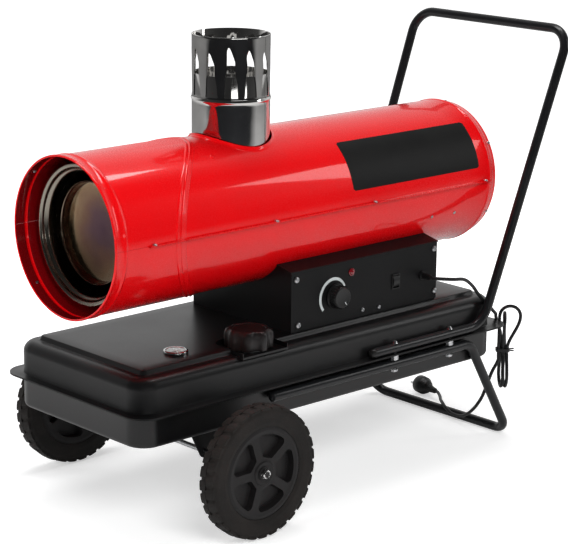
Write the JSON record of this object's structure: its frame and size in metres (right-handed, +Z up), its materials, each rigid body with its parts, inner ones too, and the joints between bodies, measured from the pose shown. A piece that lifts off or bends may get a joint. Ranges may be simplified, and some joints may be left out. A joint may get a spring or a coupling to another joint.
{
  "type": "forced air heater",
  "caption": "Mobile indirect-fired forced air heater: red drum with flue chimney on a wheeled black fuel tank, with a tube handle, rear stand, control panel and mains cord.",
  "frame": {"origin": "middle of the footprint, on the floor that the tyres and the stand rest on", "axes": "+X from the hot-air outlet to the handle end along the drum, +Y to the side away from the control panel, +Z up"},
  "size_m": [1.1266, 0.603, 0.8697],
  "materials": {
    "red_enamel": "gloss",
    "black_enamel": "satin",
    "tube_black": "satin",
    "polished_steel": "polished",
    "heated_steel": "heat tinted",
    "zinc": "bright zinc",
    "brass": "plain",
    "cast_alloy": "cast",
    "hub_plastic": "moulded",
    "black_plastic": "moulded",
    "white_plastic": "moulded",
    "red_lens": "clear red",
    "board_green": "laminate",
    "tyre_rubber": "moulded rubber",
    "cord_rubber": "smooth rubber"
  },
  "bodies": {
    "base": {"outlet_cowl_upper": "red_enamel", "outlet_cowl_lower": "red_enamel", "drum_upper_shell": "red_enamel", "drum_lower_shell": "red_enamel", "chimney_cowl": "polished_steel", "flue_spigot": "polished_steel", "heat_exchanger": "heated_steel", "combustion_chamber": "heated_steel", "burner_tube": "heated_steel", "swirl_plate": "heated_steel", "burner_nozzle": "brass", "filler_strainer": "brass", "fuel_supply_line": "brass", "fuel_pump": "cast_alloy", "fan_motor": "cast_alloy", "filler_neck": "cast_alloy", "fuel_gauge_body": "cast_alloy", "motor_bracket": "zinc", "tank_drain_plug": "zinc", "axle": "zinc", "wheel_cap_near": "zinc", "wheel_cap_far": "zinc", "frame_bolt_near_1": "zinc", "frame_bolt_far_1": "zinc", "frame_bolt_near_2": "zinc", "frame_bolt_far_2": "zinc", "inlet_guard": "tube_black", "handle_tube": "tube_black", "stand_tube": "tube_black", "tank_upper_shell": "black_enamel", "tank_lower_shell": "black_enamel", "axle_bracket_near": "black_enamel", "axle_bracket_far": "black_enamel", "support_box": "black_enamel", "control_panel": "black_enamel", "ignition_transformer": "black_enamel", "thermostat_body": "black_plastic", "rocker_frame": "black_plastic", "fuel_gauge_dial": "white_plastic", "indicator_lamp": "red_lens", "control_board": "board_green", "handle_plug_near": "cord_rubber", "handle_plug_far": "cord_rubber", "cable_gland": "cord_rubber", "power_cord": "cord_rubber", "cord_hank": "cord_rubber", "cord_tie": "cord_rubber", "power_cord_tail": "cord_rubber", "power_plug": "cord_rubber"},
    "wheel_near": {"wheel_hub_near": "hub_plastic", "tyre_near": "tyre_rubber"},
    "wheel_far": {"wheel_hub_far": "hub_plastic", "tyre_far": "tyre_rubber"},
    "fan": {"fan_impeller": "cast_alloy", "motor_shaft": "zinc"},
    "knob": {"thermostat_knob": "black_plastic"},
    "rocker": {"rocker_button": "black_plastic"},
    "cap": {"fuel_filler_cap": "black_plastic"},
    "float": {"fuel_gauge_float": "white_plastic"},
    "pointer": {"fuel_gauge_pointer": "red_lens"}
  },
  "joints": [
    {"name": "wheel_near_spin", "type": "hinge", "parent": "base", "child": "wheel_near", "pos_m": [-0.34455, -0.275, 0.125], "axis": [0, 1, 0], "continuous": true},
    {"name": "wheel_far_spin", "type": "hinge", "parent": "base", "child": "wheel_far", "pos_m": [-0.34455, 0.275, 0.125], "axis": [0, 1, 0], "continuous": true},
    {"name": "fan_spin", "type": "hinge", "parent": "base", "child": "fan", "pos_m": [0.34845, 0, 0.538], "axis": [1, 0, 0], "continuous": true},
    {"name": "thermostat_turn", "type": "hinge", "parent": "base", "child": "knob", "pos_m": [-0.03655, -0.16, 0.372], "axis": [0, -1, 0], "range_deg": [0, 270]},
    {"name": "rocker_tilt", "type": "hinge", "parent": "base", "child": "rocker", "pos_m": [0.12745, -0.1506, 0.373], "axis": [1, 0, 0], "range_deg": [-14, 0]},
    {"name": "filler_cap_turn", "type": "hinge", "parent": "base", "child": "cap", "pos_m": [-0.24755, -0.14, 0.331], "axis": [0, 0, 1], "range_deg": [0, 90]},
    {"name": "float_rise", "type": "slide", "parent": "base", "child": "float", "axis": [0, 0, 1], "range_m": [0, 0.097]},
    {"name": "gauge_pointer_turn", "type": "hinge", "parent": "base", "child": "pointer", "pos_m": [-0.39055, -0.101, 0.32], "axis": [0, 0, 1], "range_deg": [0, 180]}
  ],
  "couplings": [
    {"joint": "gauge_pointer_turn", "follows": "float_rise", "rad_per_m": 32}
  ]
}
